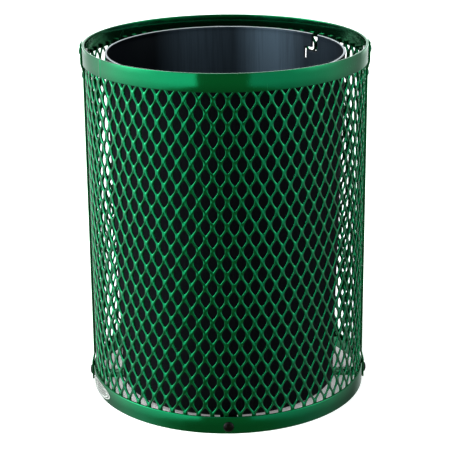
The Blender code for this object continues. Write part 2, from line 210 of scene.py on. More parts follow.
def rounded_rectangle(width, height, corner, steps=4):
    """Points round a rectangle centred on the origin, with round corners."""
    points = []
    for sign_x, sign_y, start in ((1, 1, 0), (-1, 1, 90), (-1, -1, 180), (1, -1, 270)):
        centre = (sign_x * (width / 2 - corner), sign_y * (height / 2 - corner))
        for i in range(steps + 1):
            turn = math.radians(start + 90 * i / steps)
            points.append((centre[0] + corner * math.cos(turn),
                           centre[1] + corner * math.sin(turn)))
    return points


def filleted(line, radius, steps=5):
    """The points of a polyline with its inner corners turned into arcs."""
    path = [Vector(line[0])]
    for before, corner, after in zip(line, line[1:], line[2:]):
        before, corner, after = Vector(before), Vector(corner), Vector(after)
        into, away = (corner - before).normalized(), (after - corner).normalized()
        bend = into.angle(away)
        back = radius * math.tan(bend / 2)
        start, end = corner - into * back, corner + away * back
        for i in range(steps + 1):
            share = i / steps
            path.append(start.lerp(corner, share).lerp(corner.lerp(end, share), share))
    path.append(Vector(line[-1]))
    return path


def bar_along(line, width, thickness, corner, bend, azimuth):
    """A flat bar with eased edges and ends, swept along a line of (radius, height) points."""
    path = filleted(line, bend)
    bm = bmesh.new()
    ends = ((0.0, 0.55), (0.25, 0.2), (1.0, 0.0))
    rings = []
    last = len(path) - 1
    for i, point in enumerate(path):
        here = path[min(i + 1, last)] - path[max(i - 1, 0)]
        along = here.normalized()
        across = Vector((along.y, -along.x))
        insets = [(0.0, 0.0)]
        if i == 0:
            insets = [(step * corner, pull * corner) for step, pull in ends]
        elif i == last:
            insets = [(-step * corner, pull * corner) for step, pull in ends[::-1]]
        for step, pull in insets:
            middle = point + along * step
            section = rounded_rectangle(width - 2 * pull, thickness - 2 * pull, corner - pull / 2)
            ring = []
            for side, out in section:
                spot = middle + across * out
                ring.append(facing_out(azimuth, spot.x, spot.y) @ Vector((side, 0.0, 0.0)))
            rings.append(ring)
    loft(bm, rings, closed=False, caps=True)
    return bm


# ---- Sizes, colours and studio settings ---------------------------------------------


class LitterBinSizes(bpy.types.PropertyGroup):
    """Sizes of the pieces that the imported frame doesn't fix."""

    columns: IntProperty(
        name="Openings round", description="Openings round the whole basket",
        default=64, min=16, max=96)
    opening_pitch: FloatProperty(
        name="Opening pitch", description="Height between an opening and the next above it",
        default=52.3 * MM, unit="LENGTH", precision=4)
    opening_width: FloatProperty(
        name="Opening width", description="Clear width of an opening",
        default=19.9 * MM, unit="LENGTH", precision=4)
    opening_height: FloatProperty(
        name="Opening height", description="Clear height of an opening",
        default=35.2 * MM, unit="LENGTH", precision=4)
    first_bond: FloatProperty(
        name="First bond", description="Top of the basket down to the first row of bonds",
        default=30.8 * MM, unit="LENGTH", precision=4)
    strand_depth: FloatProperty(
        name="Strand depth", description="Coated strand, across the sheet",
        default=4.2 * MM, unit="LENGTH", precision=4)
    strand_round: FloatProperty(
        name="Strand rounding", description="Radius that the coat gives the strand's edges",
        default=0.75 * MM, unit="LENGTH", precision=4)
    strand_tilt: FloatProperty(
        name="Strand tilt", description="Turn of each strand out of the sheet, as a slope",
        default=0.2)
    sheet_lean: FloatProperty(
        name="Sheet lean", description="Lean of the pattern where the sheet was rolled askew",
        default=0.014, subtype="ANGLE")
    coat_round: FloatProperty(
        name="Coat rounding", description="Radius that the coat gives a flat bar's edges",
        default=1.5 * MM, unit="LENGTH", precision=4)
    weld_azimuth: FloatProperty(
        name="Hoop weld", description="Place of the top hoop's welded joint",
        default=math.radians(-57.0), subtype="ANGLE")
    slot_azimuth: FloatProperty(
        name="Bag notch", description="Place of the liner's bag notch",
        default=math.radians(127.5), subtype="ANGLE")
    slot_width: FloatProperty(
        name="Bag slot width", description="Width of the slot off the bag notch",
        default=6.0 * MM, unit="LENGTH", precision=4)


class LitterBinColours(bpy.types.PropertyGroup):
    """Colours of the finishes."""

    coat: FloatVectorProperty(
        name="Coat", description="Green of the thermoplastic coat", subtype="COLOR",
        size=4, min=0.0, max=1.0, default=linear("#020f06"))
    coat_deep: FloatVectorProperty(
        name="Coat, thick", description="Green where the coat has pooled", subtype="COLOR",
        size=4, min=0.0, max=1.0, default=linear("#010a04"))
    liner: FloatVectorProperty(
        name="Liner", description="Moulded liner", subtype="COLOR",
        size=4, min=0.0, max=1.0, default=linear("#020306"))
    oxide: FloatVectorProperty(
        name="Bolt heads", description="Black oxide on steel", subtype="COLOR",
        size=4, min=0.0, max=1.0, default=linear("#050505"))
    zinc: FloatVectorProperty(
        name="Nuts and washers", description="Zinc plate", subtype="COLOR",
        size=4, min=0.0, max=1.0, default=linear("#b9bcc0"))
    plate: FloatVectorProperty(
        name="Label plate", description="Enamel of the oval plate", subtype="COLOR",
        size=4, min=0.0, max=1.0, default=linear("#b4bbb6"))


class LitterBinStudio(bpy.types.PropertyGroup):
    """Strengths of the studio's lights, and the camera's lens."""

    left_panel: FloatProperty(
        name="Left panels", description="Brightness of the panels at the left", default=2.3)
    right_panel: FloatProperty(
        name="Right panels", description="Brightness of the panels at the right", default=0.95)
    backdrop: FloatProperty(
        name="Backdrop", description="Brightness of the white backdrop behind", default=5.0)
    high_panels: FloatProperty(
        name="High panels", description="Panels above the horizon against those below",
        default=3.5)
    back_floor: FloatProperty(
        name="Back floor", description="Brightness of the floor behind the bin", default=1.1)
    overhead: FloatProperty(
        name="Overhead", description="Brightness overhead, as a share of the panels'", default=0.4)
    foreground: FloatProperty(
        name="Foreground", description="Brightness of the floor before the bin", default=0.40)
    softbox_power: FloatProperty(
        name="Softbox", description="Power of the softbox high at the left",
        default=10.0, unit="POWER")
    lens: FloatProperty(
        name="Lens", description="Focal length in millimetres on a 36 mm sensor",
        default=121.84, unit="CAMERA")


# ---- Materials ----------------------------------------------------------------------


def plastisol_coated_steel(colours):
    """Steel dipped in green thermoplastic: thick, glossy and soft-edged, never quite flat."""
    material, tree, shader, place = new_material("plastisol_coated_steel")
    # Pooled coat reads as a slightly deeper green in patches a few centimetres across.
    pooled = add_node(tree, "ShaderNodeTexNoise", {
        "Vector": place, "Scale": 1 / (45 * MM), "Detail": 3.0})
    share = add_node(tree, "ShaderNodeMapRange", {
        "Value": pooled, "From Min": 0.35, "From Max": 0.65})
    colour = add_node(tree, "ShaderNodeMix", {
        "Factor": share, COLOUR_A: colours.coat, COLOUR_B: colours.coat_deep},
        MIXED_COLOUR, data_type="RGBA")
    # Handling leaves hair scuffs about 0.6 mm wide and some centimetres long, paler and duller.
    streaks = add_node(tree, "ShaderNodeMapping", {"Vector": place, "Scale": (1.0, 1.0, 0.07)})
    hairs = add_node(tree, "ShaderNodeTexNoise", {
        "Vector": streaks, "Scale": 1 / (1.2 * MM), "Detail": 2.0})
    hairs = add_node(tree, "ShaderNodeMapRange", {
        "Value": hairs, "From Min": 0.66, "From Max": 0.74})
    handled = add_node(tree, "ShaderNodeTexNoise", {
        "Vector": place, "Scale": 1 / (60 * MM), "Detail": 1.0})
    handled = add_node(tree, "ShaderNodeMapRange", {
        "Value": handled, "From Min": 0.52, "From Max": 0.66})
    scuffed = add_node(tree, "ShaderNodeMath", {0: hairs, 1: handled}, operation="MULTIPLY")
    share = add_node(tree, "ShaderNodeMapRange", {"Value": scuffed, "To Max": 0.35})
    colour = add_node(tree, "ShaderNodeMix", {
        "Factor": share, COLOUR_A: colour, COLOUR_B: linear("#2c5a3c")},
        MIXED_COLOUR, data_type="RGBA")
    tree.links.new(colour, shader.inputs["Base Color"])
    # The gloss wanders a little with the coat's thickness, and drops on the scuffs.
    gloss = add_node(tree, "ShaderNodeMapRange", {
        "Value": pooled, "From Min": 0.3, "From Max": 0.7, "To Min": 0.10, "To Max": 0.16})
    gloss = add_node(tree, "ShaderNodeMath", {0: scuffed, 1: 0.25, 2: gloss},
                     operation="MULTIPLY_ADD")
    tree.links.new(gloss, shader.inputs["Roughness"])
    # Slow waves 30 mm across from the dip, and orange peel 3 to 4 mm across.
    peel = relief(tree, place, (30 * MM, 1.0, 0.20 * MM), (3.5 * MM, 1.0, 0.035 * MM))
    tree.links.new(peel, shader.inputs["Normal"])
    # The pigment tints what the clear plastic returns, so face-on reflections are green too.
    # Light is returned by the coat's face and again by what lies under it. The IOR, well
    # over plain vinyl's 1.53, and the full specular level stand in for the two together.
    shader.inputs["Specular Tint"].default_value = (0.02, 1.0, 0.37, 1.0)
    shader.inputs["Specular IOR Level"].default_value = 1.0
    shader.inputs["IOR"].default_value = 1.8
    return material


def painted_inner_highlight(tree, across, along, inside, rubs):
    """Share of painted bluish highlight on the liner's inner wall, in two broad upright bands."""
    first = band(tree, across, (0.02, 0.09), (0.11, 0.18))
    risen = add_node(tree, "ShaderNodeMapRange", {
        "Value": across, "From Min": -0.16, "From Max": -0.09})
    fading = add_node(tree, "ShaderNodeMapRange", {
        "Value": across, "From Min": -0.06, "From Max": 0.04, "To Min": 0.42, "To Max": 0.2})
    second = add_node(tree, "ShaderNodeMath", {0: risen, 1: fading}, operation="MULTIPLY")
    painted_highlight = add_node(tree, "ShaderNodeMath", {0: first, 1: second}, operation="ADD")
    at_back = add_node(tree, "ShaderNodeMapRange", {
        "Value": along, "From Min": 0.0, "From Max": 0.12})
    streaked = add_node(tree, "ShaderNodeMapRange", {
        "Value": rubs, "From Min": 0.25, "From Max": 0.6, "To Min": 0.7, "To Max": 1.0})
    for share in (at_back, inside, streaked):
        painted_highlight = add_node(tree, "ShaderNodeMath", {0: painted_highlight, 1: share}, operation="MULTIPLY")
    return painted_highlight


def moulded_polyethylene(colours):
    """Rotationally moulded black polyethylene: waxy sheen, fine grain, pale rub marks."""
    material, tree, shader, place = new_material("moulded_black_polyethylene")
    # Litter and bags rub streaks down the wall: 2 mm wide and a hand long, a shade paler.
    streaks = add_node(tree, "ShaderNodeMapping", {"Vector": place, "Scale": (1.0, 1.0, 0.03)})
    rubs = add_node(tree, "ShaderNodeTexNoise", {
        "Vector": streaks, "Scale": 1 / (4 * MM), "Detail": 3.0})
    marks = add_node(tree, "ShaderNodeMapRange", {
        "Value": rubs, "From Min": 0.56, "From Max": 0.74})
    patches = add_node(tree, "ShaderNodeTexNoise", {
        "Vector": place, "Scale": 1 / (90 * MM), "Detail": 2.0})
    patches = add_node(tree, "ShaderNodeMapRange", {
        "Value": patches, "From Min": 0.42, "From Max": 0.62})
    rubbed = add_node(tree, "ShaderNodeMath", {0: marks, 1: patches}, operation="MULTIPLY")
    share = add_node(tree, "ShaderNodeMapRange", {"Value": rubbed, "To Max": 0.5})
    colour = add_node(tree, "ShaderNodeMix", {
        "Factor": share, COLOUR_A: colours.liner, COLOUR_B: linear("#14181c")},
        MIXED_COLOUR, data_type="RGBA")
    # The wall's normal points away from the axis outside, and towards it inside.
    across, along, up = add_node(tree, "ShaderNodeSeparateXYZ", {"Vector": place}).node.outputs
    normal = tree.nodes.new("ShaderNodeNewGeometry").outputs["Normal"]
    facing = add_node(tree, "ShaderNodeVectorMath", {0: normal, 1: place}, "Value",
                      operation="DOT_PRODUCT")
    inside = add_node(tree, "ShaderNodeMapRange", {
        "Value": facing, "From Min": -0.05, "From Max": 0.0, "To Min": 1.0, "To Max": 0.0})
    # Painted highlight: a bluish sheen on the inner wall stands in for the lights' reflection.
    painted_highlight = painted_inner_highlight(tree, across, along, inside, rubs)
    colour = add_node(tree, "ShaderNodeMix", {
        "Factor": painted_highlight, COLOUR_A: colour, COLOUR_B: linear("#42525f")},
        MIXED_COLOUR, data_type="RGBA")
    # Painted highlight: the bead's top is painted nearly white for the lights' glancing gleam.
    painted_rim_highlight = add_node(tree, "ShaderNodeMapRange", {
        "Value": up, "From Min": LINER_HIGH[2] - 1.0 * MM, "From Max": LINER_HIGH[2] - 0.3 * MM,
        "To Max": 0.85})
    colour = add_node(tree, "ShaderNodeMix", {
        "Factor": painted_rim_highlight, COLOUR_A: colour, COLOUR_B: linear("#b4bcc0")},
        MIXED_COLOUR, data_type="RGBA")
    tree.links.new(colour, shader.inputs["Base Color"])
    # The mould leaves the outside dull; the inside cools free of it and stays waxy.
    outside = add_node(tree, "ShaderNodeMapRange", {
        "Value": facing, "From Min": -0.05, "From Max": 0.05, "To Min": 0.42, "To Max": 0.72})
    dull = add_node(tree, "ShaderNodeMath", {0: rubbed, 1: 0.10, 2: outside},
                    operation="MULTIPLY_ADD")
    tree.links.new(dull, shader.inputs["Roughness"])
    # The wall is a little wavy from shrinkage, 80 mm from crest to crest. The tool's grain
    # is about 0.5 mm, drawn at 1.6 mm so that it shows.
    grain = relief(tree, place, (80 * MM, 1.0, 0.6 * MM), (1.6 * MM, 2.0, 0.03 * MM))
    tree.links.new(grain, shader.inputs["Normal"])
    shader.inputs["IOR"].default_value = 1.51
    shader.inputs["Specular IOR Level"].default_value = 0.10
    shader.inputs["Specular Tint"].default_value = (0.70, 0.92, 1.0, 1.0)
    return material


def black_oxide_steel(colours):
    """Machined steel blackened in a hot bath: near black, satin, brown where it has worn."""
    material, tree, shader, place = new_material("black_oxide_steel")
    wear = add_node(tree, "ShaderNodeTexNoise", {
        "Vector": place, "Scale": 1 / (5 * MM), "Detail": 3.0})
    share = add_node(tree, "ShaderNodeMapRange", {
        "Value": wear, "From Min": 0.55, "From Max": 0.75, "To Max": 0.5})
    colour = add_node(tree, "ShaderNodeMix", {
        "Factor": share, COLOUR_A: colours.oxide, COLOUR_B: linear("#0d0b0a")},
        MIXED_COLOUR, data_type="RGBA")
    tree.links.new(colour, shader.inputs["Base Color"])
    satin = add_node(tree, "ShaderNodeMapRange", {
        "Value": wear, "From Min": 0.3, "From Max": 0.7, "To Min": 0.18, "To Max": 0.30})
    tree.links.new(satin, shader.inputs["Roughness"])
    # Turning marks and bath grain of about 0.4 mm, drawn at 0.8 mm so that they show.
    tree.links.new(relief(tree, place, (0.8 * MM, 2.0, 0.02 * MM)), shader.inputs["Normal"])
    shader.inputs["Specular IOR Level"].default_value = 0.1
    return material


def zinc_plated_steel(colours):
    """Bright zinc over pressed steel: cool silver with a faint straw-coloured passivation."""
    material, tree, shader, place = new_material("zinc_plated_steel")
    tint = add_node(tree, "ShaderNodeTexNoise", {
        "Vector": place, "Scale": 1 / (6 * MM), "Detail": 2.0})
    share = add_node(tree, "ShaderNodeMapRange", {
        "Value": tint, "From Min": 0.45, "From Max": 0.7, "To Max": 0.6})
    colour = add_node(tree, "ShaderNodeMix", {
        "Factor": share, COLOUR_A: colours.zinc, COLOUR_B: linear("#a9a28c")},
        MIXED_COLOUR, data_type="RGBA")
    tree.links.new(colour, shader.inputs["Base Color"])
    satin = add_node(tree, "ShaderNodeMapRange", {
        "Value": tint, "From Min": 0.3, "From Max": 0.7, "To Min": 0.26, "To Max": 0.40})
    tree.links.new(satin, shader.inputs["Roughness"])
    # Press and tumbling marks, about 1 mm apart.
    tree.links.new(relief(tree, place, (1.0 * MM, 3.0, 0.02 * MM)), shader.inputs["Normal"])
    shader.inputs["Metallic"].default_value = 1.0
    return material


def small_print(tree, place):
    """The share of ink on the label: an oval border, and rows of strokes that spell nothing."""
    span = LABEL_HIGH - LABEL_LOW
    centred = add_node(tree, "ShaderNodeVectorMath", {
        0: place, 1: (LABEL_LOW + LABEL_HIGH) / 2}, operation="SUBTRACT")
    scaled = add_node(tree, "ShaderNodeVectorMath", {
        0: centred, 1: (0.0, 2 / span.y, 2 / span.z)}, operation="MULTIPLY")
    # The oval's own distance: nought at its centre, one at its edge.
    outwards = add_node(tree, "ShaderNodeVectorMath", {0: scaled}, "Value", operation="LENGTH")
    border = band(tree, outwards, (0.84, 0.86), (0.91, 0.93))
    # Rows are 5 mm apart, and broken up about every 12 mm.
    up = add_node(tree, "ShaderNodeSeparateXYZ", {"Vector": place}, "Z")
    row = add_node(tree, "ShaderNodeMath", {0: up, 1: 5 * MM}, operation="DIVIDE")
    row = add_node(tree, "ShaderNodeMath", {0: row}, operation="FRACT")
    row = add_node(tree, "ShaderNodeMapRange", {
        "Value": row, "From Min": 0.4, "From Max": 0.45})
    strokes = add_node(tree, "ShaderNodeMapping", {"Vector": place, "Scale": (1.0, 1.0, 0.1)})
    strokes = add_node(tree, "ShaderNodeTexNoise", {
        "Vector": strokes, "Scale": 1 / (12 * MM), "Detail": 1.0})
    strokes = add_node(tree, "ShaderNodeMapRange", {
        "Value": strokes, "From Min": 0.34, "From Max": 0.40})
    within = add_node(tree, "ShaderNodeMapRange", {
        "Value": outwards, "From Min": 0.74, "From Max": 0.78, "To Min": 1.0, "To Max": 0.0})
    for share in (row, within):
        strokes = add_node(tree, "ShaderNodeMath", {0: strokes, 1: share}, operation="MULTIPLY")
    return add_node(tree, "ShaderNodeMath", {0: border, 1: strokes}, operation="MAXIMUM")


def enamelled_plate(colours):
    """A pressed plate with a pale stoved enamel, a little grubby, and illegible small print."""
    material, tree, shader, place = new_material("stoved_enamel_plate")
    grime = add_node(tree, "ShaderNodeTexNoise", {
        "Vector": place, "Scale": 1 / (12 * MM), "Detail": 4.0})
    share = add_node(tree, "ShaderNodeMapRange", {
        "Value": grime, "From Min": 0.5, "From Max": 0.8, "To Max": 0.35})
    enamel = add_node(tree, "ShaderNodeMix", {
        "Factor": share, COLOUR_A: colours.plate, COLOUR_B: linear("#9ba39c")},
        MIXED_COLOUR, data_type="RGBA")
    printed = add_node(tree, "ShaderNodeMix", {
        "Factor": small_print(tree, place), COLOUR_A: enamel, COLOUR_B: linear("#0c120e")},
        MIXED_COLOUR, data_type="RGBA")
    tree.links.new(printed, shader.inputs["Base Color"])
    satin = add_node(tree, "ShaderNodeMapRange", {
        "Value": grime, "From Min": 0.3, "From Max": 0.8, "To Min": 0.4, "To Max": 0.6})
    tree.links.new(satin, shader.inputs["Roughness"])
    shader.inputs["Specular IOR Level"].default_value = 0.1
    # Enamel flows out with a ripple about 2 mm across.
    tree.links.new(relief(tree, place, (2 * MM, 1.0, 0.02 * MM)), shader.inputs["Normal"])
    return material


def painted_floor():
    """A white studio floor: matt paint with a faint roller stipple, 6 mm across."""
    material, tree, shader, place = new_material("white_floor_paint")
    stipple = add_node(tree, "ShaderNodeTexNoise", {
        "Vector": place, "Scale": 1 / (6 * MM), "Detail": 2.0})
    colour = add_node(tree, "ShaderNodeMix", {
        "Factor": stipple, COLOUR_A: linear("#f4f4f4"), COLOUR_B: linear("#fbfbfb")},
        MIXED_COLOUR, data_type="RGBA")
    tree.links.new(colour, shader.inputs["Base Color"])
    shader.inputs["Roughness"].default_value = 0.8
    shader.inputs["Emission Color"].default_value = (1.0, 1.0, 1.0, 1.0)
    # Its glow stands in for light bounced about the room, which doesn't reach under the bin.
    level = add_node(tree, "ShaderNodeVectorMath", {0: place, 1: (1.0, 1.0, 0.0)},
                     operation="MULTIPLY")
    away = add_node(tree, "ShaderNodeVectorMath", {0: level}, "Value", operation="LENGTH")
    glow = add_node(tree, "ShaderNodeMapRange", {
        "Value": away, "From Min": HOOP_RADIUS - 40 * MM, "From Max": HOOP_RADIUS,
        "To Min": 0.2, "To Max": 0.55})
    tree.links.new(glow, shader.inputs["Emission Strength"])
    return material


FINISHES = {}


def finish(maker, colours):
    """The material that a maker gives, made once and shared by every piece that uses it."""
    known = FINISHES.get(maker.__name__)
    if known is None:
        known = FINISHES[maker.__name__] = maker(colours)
    return known


# ---- Expanded sheet -----------------------------------------------------------------

# One quarter of an opening, as shares of its half width and half height, from the side
# where it meets a bond to the tip; and where each point's rib meets the next tile.
OPENING_QUARTER = ((1.0, 0.0), (0.985, 0.19), (0.86, 0.41), (0.48, 0.73), (0.15, 0.955))
BORDER_SHARES = (0.0, 0.16, 0.36, 0.64, 0.84)
SHEET_TOP_TRIM, SHEET_SEAM = 3 * MM, 1 * MM


def tile_rings(sizes, half_pitch, half_rise):
    """One tile from bond to bond: rings of (across, depth, up) points from front to back."""
    half_width, half_height = sizes.opening_width / 2, sizes.opening_height / 2
    opening, border = [], []
    for quarter in range(4):
        flip = quarter % 2
        steps = list(zip(OPENING_QUARTER, BORDER_SHARES))
        if flip:
            steps = [((0.0, 1.0), 1.0)] + steps[:0:-1]
        sign_x = 1 if quarter in (0, 3) else -1
        sign_z = 1 if quarter in (0, 1) else -1
        for (across, up), share in steps:
            opening.append((sign_x * across * half_width, sign_z * up * half_height))
            border.append((sign_x * (1 - share) * half_pitch, sign_z * share * half_rise))
    opening, border = np.array(opening), np.array(border)
    ahead, behind = np.roll(opening, -1, axis=0), np.roll(opening, 1, axis=0)
    along = ahead - behind
    outward = np.stack([along[:, 1], -along[:, 0]], axis=1)
    outward /= np.linalg.norm(outward, axis=1, keepdims=True)
    eased = opening + outward * sizes.strand_round
    ease, depth = sizes.strand_round, sizes.strand_depth
    levels = ((border, 0.0), (eased, 0.0), (opening, ease), (opening, depth - ease),
              (eased, depth), (border, depth))
    rings = []
    for points, level in levels:
        across, up = points[:, 0], points[:, 1]
        middle = half_pitch * (1 - np.abs(up) / half_rise)
        side = np.sign(across)
        lift = across - side * middle
        near = np.clip(np.abs(across) / (3 * MM), 0, 1)
        lift = sizes.strand_tilt * lift * near
        rings.append(np.stack([across, level + lift, up], axis=1))
    return rings


def expanded_half(sizes, azimuth):
    """Half of the rolled sheet: tiles laid flat, trimmed square, then rolled to the radius."""
    outer = HOOP_RADIUS - HOOP_THICKNESS - FIT_GAP
    radius = outer - sizes.strand_depth / 2
    half_pitch = math.pi * radius / sizes.columns
    half_rise = sizes.opening_pitch / 2
    low, high = SHEET_LOW[2], SHEET_HIGH[2] - SHEET_TOP_TRIM
    middle = (low + high) / 2
    edge = math.pi / 2 * radius - SHEET_SEAM / 2
    first = BIN_HEIGHT - sizes.first_bond
    rings = tile_rings(sizes, half_pitch, half_rise)
    tile = np.concatenate(rings)
    count = len(rings[0])
    tile_faces = np.array([
        (level * count + i, (level + 1) * count + i,
         (level + 1) * count + (i + 1) % count, level * count + (i + 1) % count)
        for level in range(len(rings) - 1) for i in range(count)
    ])
    # With an odd number of columns, the back half starts half a pitch on from the front.
    start = 0 if azimuth == 0 else sizes.columns
    points, faces = [], []
    for row in range(-2, int((high - low) / half_rise) + 4):
        height = first - row * half_rise
        if not low - half_rise < height < high + half_rise:
            continue
        lean = sizes.sheet_lean * (height - middle)
        for column in range(-sizes.columns, sizes.columns + 1):
            if (column + row + start) % 2:
                continue
            across = column * half_pitch + lean
            if abs(across) > edge + half_pitch:
                continue
            here = tile + (across, 0.0, height)
            here[:, 0] += sizes.sheet_lean * tile[:, 2]
            faces.append(tile_faces + len(points) * len(tile))
            points.append(here)
    mesh = bpy.data.meshes.new("expanded_sheet")
    mesh.from_pydata(np.concatenate(points).tolist(), [], np.concatenate(faces).tolist())
    bm = bmesh.new()
    bm.from_mesh(mesh)
    bpy.data.meshes.remove(mesh)
    bmesh.ops.remove_doubles(bm, verts=bm.verts, dist=0.02 * MM)
    trims = (((0, 0, high), (0, 0, 1)), ((0, 0, low), (0, 0, -1)),
             ((edge, 0, 0), (1, 0, 0)), ((-edge, 0, 0), (-1, 0, 0)))
    for spot, outwards in trims:
        bmesh.ops.bisect_plane(bm, geom=bm.verts[:] + bm.edges[:] + bm.faces[:], dist=1e-6,
                               plane_co=spot, plane_no=outwards, clear_outer=True)
        rim = [e for e in bm.edges if e.is_boundary and all(
            abs((v.co - Vector(spot)).dot(Vector(outwards))) < 1e-5 for v in e.verts)]
        bmesh.ops.holes_fill(bm, edges=rim, sides=0)
    for vert in bm.verts:
        turn = math.degrees(vert.co.x / radius) + azimuth
        vert.co = around(turn, outer - vert.co.y, vert.co.z)
    bmesh.ops.recalc_face_normals(bm, faces=bm.faces)
    return bm


class MESH_OT_expanded_basket(bpy.types.Operator):
    """Builds the two rolled halves of the expanded-metal wall"""

    bl_idname = "litter_bin.expanded_basket"
    bl_label = "Expanded basket"

    def execute(self, context):
        sizes, colours = context.scene.bin_sizes, context.scene.bin_colours
        coat = finish(plastisol_coated_steel, colours)
        for side, azimuth in (("front", 0.0), ("back", 180.0)):
            half = expanded_half(sizes, azimuth)
            make_piece(f"expanded_sheet_{side}", half, coat, "basket", [f"mesh_{side}"],
                       sharp=60.0)
        return {"FINISHED"}


# ---- Hoops, uprights and base bars --------------------------------------------------


WELD_RISE, WELD_SPREAD = 0.9 * MM, 3.5 * MM
BOTTOM_WELD_AZIMUTH = 150.0


def hoop_ring(bottom, top, sizes, weld):
    """A flat-bar hoop with round coated edges, and a low bead where its ends are welded."""
    section = rounded_rectangle(HOOP_THICKNESS, top - bottom, sizes.coat_round)
    # The rings stand 1.5 degrees apart, and ten times closer near the weld.
    turns = [turn for turn in np.linspace(-180, 180, 241)[:-1] if abs(turn - weld) > 2.2]
    turns += [weld + step for step in np.linspace(-2, 2, 21)]
    middle, level = HOOP_RADIUS - HOOP_THICKNESS / 2, (bottom + top) / 2
    rings = []
    for turn in sorted(turns):
        away = math.radians(turn - weld) * HOOP_RADIUS
        bead = WELD_RISE * math.exp(-(away / WELD_SPREAD) ** 2)
        rings.append([around(turn, middle + out + math.copysign(bead, out), level + up)
                      for out, up in section])
    bm = bmesh.new()
    loft(bm, rings)
    return bm


class MESH_OT_hoops(bpy.types.Operator):
    """Builds the two flat-bar hoops"""

    bl_idname = "litter_bin.hoops"
    bl_label = "Hoops"

    def execute(self, context):
        sizes = context.scene.bin_sizes
        coat = finish(plastisol_coated_steel, context.scene.bin_colours)
        hoops = (("top", HOOP_LOW[2], HOOP_HIGH[2], math.degrees(sizes.weld_azimuth)),
                 ("bottom", FOOT_LOW[2], FOOT_HIGH[2], BOTTOM_WELD_AZIMUTH))
        for name, bottom, top, weld in hoops:
            ring = hoop_ring(bottom, top, sizes, weld)
            make_piece(f"coated_{name}_hoop", ring, coat, "basket", [f"{name}_hoop"])
        return {"FINISHED"}


class MESH_OT_uprights(bpy.types.Operator):
    """Builds the two side uprights, joggled in against the sheet"""

    bl_idname = "litter_bin.uprights"
    bl_label = "Uprights"

    def execute(self, context):
        coat = finish(plastisol_coated_steel, context.scene.bin_colours)
        width = UPRIGHT_HIGH[1] - UPRIGHT_LOW[1]
        at_hoop = UPRIGHT_HIGH[0] - UPRIGHT_THICKNESS / 2
        # Each joggle steps in by about the hoop's thickness, starting 4 mm clear of the hoop.
        joggle, run = 4.8 * MM, 18 * MM
        at_sheet = at_hoop - joggle
        low = FOOT_HIGH[2] + 4 * MM
        high = BIN_HEIGHT - low
        line = [(at_hoop, 0.0), (at_hoop, low), (at_sheet, low + run),
                (at_sheet, high - run), (at_hoop, high), (at_hoop, BIN_HEIGHT)]
        for side, azimuth in (("left", -90.0), ("right", 90.0)):
            bar = bar_along(line, width, UPRIGHT_THICKNESS, 1.3 * MM, 14 * MM, azimuth)
            make_piece(f"coated_upright_{side}", bar, coat, "basket", [f"upright_{side}"])
        return {"FINISHED"}


class MESH_OT_base_bars(bpy.types.Operator):
    """Builds the crossed bars that the liner stands on, and the rivet that joins them"""

    bl_idname = "litter_bin.base_bars"
    bl_label = "Base bars"

    def execute(self, context):
        coat = finish(plastisol_coated_steel, context.scene.bin_colours)
        zinc = finish(zinc_plated_steel, context.scene.bin_colours)
        low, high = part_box("base_bar_long")
        width, thickness = high[0] - low[0], BASE_BAR_THICKNESS
        level = low[2] + thickness / 2
        ends = high[1] - thickness / 2
        line = [(-ends, high[2]), (-ends, level), (ends, level), (ends, high[2])]
        # The cross bar humps over the long one.
        flat, slope, rise = 41 * MM, 8 * MM, thickness + FIT_GAP
        hump = [(-flat - slope, level), (-flat, level + rise),
                (flat, level + rise), (flat + slope, level)]
        lines = (("long", 0.0, line, 5 * MM), ("cross", 90.0, line[:2] + hump + line[2:], 3 * MM))
        for name, azimuth, path, bend in lines:
            bar = bar_along(path, width, thickness, 1.2 * MM, bend, azimuth)
            make_piece(f"coated_bar_{name}", bar, coat, "basket", [f"base_bar_{name}"])
        low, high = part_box("base_rivet")
        head, foot, shank = high[0], low[2], 3 * MM
        seat = level + rise + thickness / 2 + FIT_GAP
        lower_seat = foot + 1.5 * MM
        crown = [(head * math.cos(t), seat + (high[2] - seat) * math.sin(t))
                 for t in np.linspace(math.pi / 2, 0, 9)]
        crown[0] = (0.0, high[2])
        profile = crown + [(shank, seat), (shank, lower_seat), (head, lower_seat),
                           (head, foot + 0.4 * MM), (head - 0.4 * MM, foot), (0.0, foot)]
        make_piece("peened_base_rivet", turned(profile, 48), zinc, "basket", ["base_rivet"])
        return {"FINISHED"}


# ---- Fasteners ----------------------------------------------------------------------


def dome_bolt(head, dome, shank, tail, pitch):
    """A low dome head with a thin skirt, a plain shank, and thread at its end."""
    skirt = 0.6 * MM
    crown = [(head * math.cos(t), skirt + (dome - skirt) * math.sin(t))
             for t in np.linspace(math.pi / 2, 0, 13)]
    crown[0] = (0.0, dome)
    profile = crown + [(head, 0.2 * MM), (head - 0.3 * MM, 0.0), (shank, 0.0)]
    threaded = 9 * MM
    depth = -(tail - threaded)
    profile.append((shank, depth))
    while depth > -tail + pitch:
        profile.append((shank - 0.6 * pitch, depth - pitch / 2))
        profile.append((shank, depth - pitch))
        depth -= pitch
    profile += [(shank - 0.8 * MM, -tail), (0.0, -tail)]
    return profile


def hex_nut(flats, thickness, bore):
    """A hexagon nut with its corners chamfered, from z = 0 down to -thickness."""
    ease, mouth, face = 0.5 * MM, bore + 0.4 * MM, flats / 2 * 0.97
    # The rings with no radius of their own follow the hexagon.
    levels = ((mouth, 0.0), (face, 0.0), (None, -ease), (None, -thickness + ease),
              (face, -thickness), (mouth, -thickness), (bore, -thickness + ease), (bore, -ease))
    rings = []
    for radius, level in levels:
        ring = []
        for i in range(36):
            turn = math.tau * i / 36
            from_corner = abs((turn + math.pi / 6) % (math.pi / 3) - math.pi / 6)
            out = radius or flats / 2 / math.cos(math.pi / 6 - from_corner)
            ring.append(Vector((out * math.cos(turn), out * math.sin(turn), level)))
        rings.append(ring)
    bm = bmesh.new()
    loft(bm, rings)
    return bm


